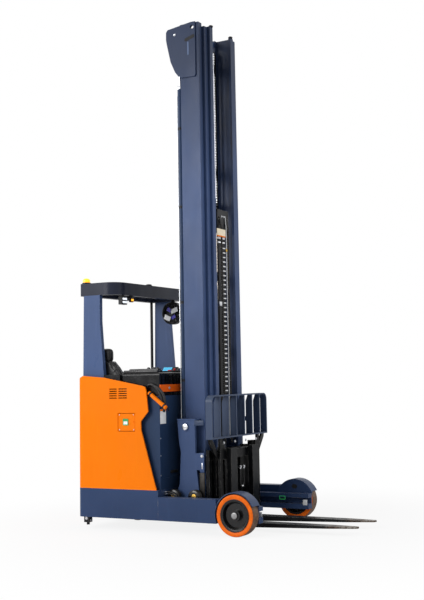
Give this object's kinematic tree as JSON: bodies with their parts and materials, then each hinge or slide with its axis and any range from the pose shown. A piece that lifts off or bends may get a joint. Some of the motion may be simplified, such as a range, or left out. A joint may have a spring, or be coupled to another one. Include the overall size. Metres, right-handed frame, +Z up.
{
  "type": "reach truck",
  "caption": "Electric reach truck: a seated driver's cab on a low hull, two outrigger legs with load wheels, and a telescopic mast that reaches forward and lifts forks.",
  "frame": {"origin": "on the ground, in the middle of the outer box from the rear panel to the fork tips", "axes": "+X to the fork tips, +Y to the truck's left where the driver steps in, +Z up along the mast"},
  "size_m": [2.536, 1.288, 4.576],
  "materials": {
    "blue_paint": "satin paint",
    "hull_paint": "satin paint",
    "dark_paint": "satin paint",
    "orange_paint": "gloss paint",
    "black_paint": "satin paint",
    "fork_paint": "satin paint",
    "steel": "machined",
    "bright_steel": "polished",
    "chain_steel": "oiled",
    "tyre_orange": "cast polyurethane",
    "tyre_black": "cast polyurethane",
    "hub_black": "painted",
    "black_plastic": "moulded",
    "grey_plastic": "moulded",
    "seat_cover": "vinyl",
    "mat_black": "ribbed",
    "battery_grey": "matt",
    "amber": "clear amber",
    "lamp_black": "moulded"
  },
  "bodies": {
    "chassis": {"hull": "hull_paint", "deck": "mat_black", "leg_left": "hull_paint", "leg_right": "hull_paint", "rear_feet": "black_paint", "side_panel_left": "orange_paint", "side_panel_right": "orange_paint", "rear_panel": "orange_paint", "front_cover": "dark_paint", "inner_wall": "dark_paint", "battery": "battery_grey", "console": "black_plastic", "cross_bar": "orange_paint", "display_hood": "grey_plastic", "seat_base": "black_paint", "seat_cushion": "seat_cover", "seat_back": "seat_cover", "headrest": "seat_cover", "steering_dash": "black_plastic", "pedals": "black_plastic", "pillar_left": "blue_paint", "pillar_right": "blue_paint", "guard": "blue_paint", "pole": "dark_paint", "beacon": "amber", "work_lamp": "lamp_black", "fan": "lamp_black", "grab_handle": "orange_paint"},
    "load_wheel_left": {"load_tyre_left": "tyre_orange", "load_hub_left": "hub_black"},
    "load_wheel_right": {"load_tyre_right": "tyre_orange", "load_hub_right": "hub_black"},
    "drive_steer": {"drive_unit": "black_paint"},
    "drive_wheel": {"drive_tyre": "tyre_black", "drive_hub": "hub_black"},
    "steering": {"steering_wheel": "black_plastic"},
    "door": {"service_door": "orange_paint"},
    "reach": {"reach_frame": "blue_paint", "reach_rollers": "steel", "mast_outer": "blue_paint", "mast_outer_ties": "blue_paint", "lift_cylinders": "dark_paint"},
    "middle_stage": {"mast_middle": "blue_paint", "lift_rods": "bright_steel", "stage_chains": "chain_steel"},
    "inner_stage": {"mast_inner": "blue_paint", "mast_inner_ties": "blue_paint", "free_cylinder": "black_paint"},
    "lift_head": {"free_head": "black_paint", "carriage_chains": "chain_steel"},
    "lift_carriage": {"fork_carriage": "black_paint"},
    "side_shifter": {"shift_frame": "black_paint"},
    "fork_frame": {"fork_holder": "black_paint", "backrest": "blue_paint", "fork_left": "fork_paint", "fork_right": "fork_paint"}
  },
  "joints": [
    {"name": "wheel_spin_left", "type": "hinge", "parent": "chassis", "child": "load_wheel_left", "pos_m": [0.34, 0.584, 0.175], "axis": [0, 1, 0], "continuous": true},
    {"name": "wheel_spin_right", "type": "hinge", "parent": "chassis", "child": "load_wheel_right", "pos_m": [0.34, -0.584, 0.175], "axis": [0, 1, 0], "continuous": true},
    {"name": "drive_steer_turn", "type": "hinge", "parent": "chassis", "child": "drive_steer", "pos_m": [-1.04, 0, 0.36], "axis": [0, 0, 1], "range_deg": [-90, 90]},
    {"name": "drive_spin", "type": "hinge", "parent": "drive_steer", "child": "drive_wheel", "pos_m": [-1.04, 0, 0.1715], "axis": [0, 1, 0], "continuous": true},
    {"name": "steering_turn", "type": "hinge", "parent": "chassis", "child": "steering", "pos_m": [-1.106, 0.298, 1], "axis": [0, 0, 1], "continuous": true},
    {"name": "door_swing", "type": "hinge", "parent": "chassis", "child": "door", "pos_m": [-0.821, -0.637, 0.942], "axis": [0, 0, -1], "range_deg": [0, 95]},
    {"name": "mast_reach", "type": "slide", "parent": "chassis", "child": "reach", "axis": [1, 0, 0], "range_m": [0, 0.56]},
    {"name": "middle_lift", "type": "slide", "parent": "reach", "child": "middle_stage", "axis": [0, 0, 1], "range_m": [0, 3.4]},
    {"name": "inner_lift", "type": "slide", "parent": "middle_stage", "child": "inner_stage", "axis": [0, 0, 1], "range_m": [0, 3.4]},
    {"name": "head_lift", "type": "slide", "parent": "inner_stage", "child": "lift_head", "axis": [0, 0, 1], "range_m": [0, 1.65]},
    {"name": "carriage_lift", "type": "slide", "parent": "inner_stage", "child": "lift_carriage", "axis": [0, 0, 1], "range_m": [0, 3.3]},
    {"name": "side_shift", "type": "slide", "parent": "lift_carriage", "child": "side_shifter", "axis": [0, 1, 0], "range_m": [-0.075, 0.075]},
    {"name": "fork_tilt", "type": "hinge", "parent": "side_shifter", "child": "fork_frame", "pos_m": [0.025, 0, 0.716], "axis": [0, -1, 0], "range_deg": [-2, 4]}
  ],
  "couplings": [
    {"joint": "inner_lift", "follows": "middle_lift", "ratio": 1},
    {"joint": "head_lift", "follows": "carriage_lift", "ratio": 0.5}
  ]
}
